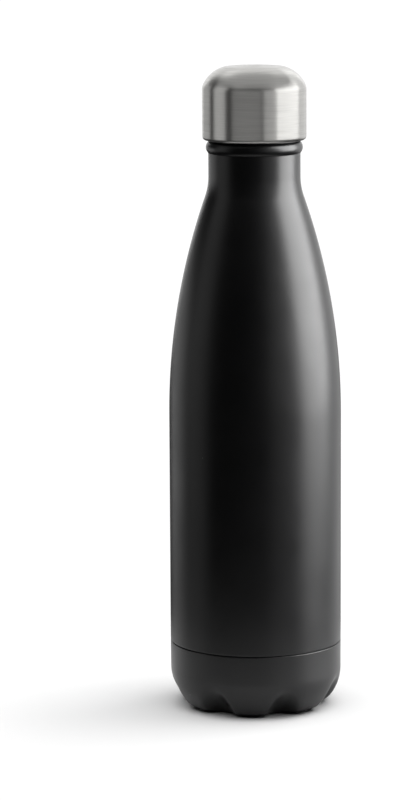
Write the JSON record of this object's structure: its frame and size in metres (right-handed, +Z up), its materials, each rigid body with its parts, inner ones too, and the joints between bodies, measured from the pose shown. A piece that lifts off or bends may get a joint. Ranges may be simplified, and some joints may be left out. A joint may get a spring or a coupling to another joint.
{
  "type": "insulated water bottle",
  "caption": "Slim double-walled vacuum bottle with a cola-bottle shoulder, lobed base cup and domed steel screw lid with a threaded plug.",
  "frame": {"origin": "on the bottle's axis, in the plane that the base lobes stand on", "axes": "+Z up along the bottle's axis to the lid, -Y towards the front"},
  "size_m": [0.0706, 0.0706, 0.2638],
  "materials": {
    "black_coat": "satin black powder coat",
    "bare_steel": "drawn and electropolished stainless steel",
    "lid_steel": "brushed round the axis",
    "solder_glass": "fused bead",
    "getter_powder": "pressed sintered powder",
    "copper_foil": "bright foil",
    "adhesive": "cured epoxy",
    "silicone": "moulded silicone",
    "black_plastic": "injection moulded",
    "foam": "expanded foam"
  },
  "bodies": {
    "bottle": {"outer_shell": "black_coat", "inner_liner": "bare_steel", "inner_bottom": "bare_steel", "outer_bottom": "bare_steel", "vacuum_seal": "solder_glass", "getter_pan": "bare_steel", "getter": "getter_powder", "copper_wrap": "copper_foil", "copper_disc": "copper_foil", "base_cup": "black_coat", "base_bond_ring": "adhesive"},
    "seal": {"lid_gasket": "silicone"},
    "lid": {"lid_shell": "lid_steel", "lid_core": "black_plastic", "lid_foam": "foam", "core_cover": "black_plastic", "lid_bond_ring": "adhesive"}
  },
  "joints": [
    {"name": "lid_lift", "type": "slide", "parent": "bottle", "child": "seal", "axis": [0, 0, 1], "range_m": [0, 0.0241]},
    {"name": "lid_turn", "type": "hinge", "parent": "seal", "child": "lid", "pos_m": [0, 0, 0.243], "axis": [0, 0, 1], "range_deg": [0, 2160]}
  ],
  "couplings": [
    {"joint": "lid_lift", "follows": "lid_turn", "m_per_rad": 0.00063662}
  ]
}
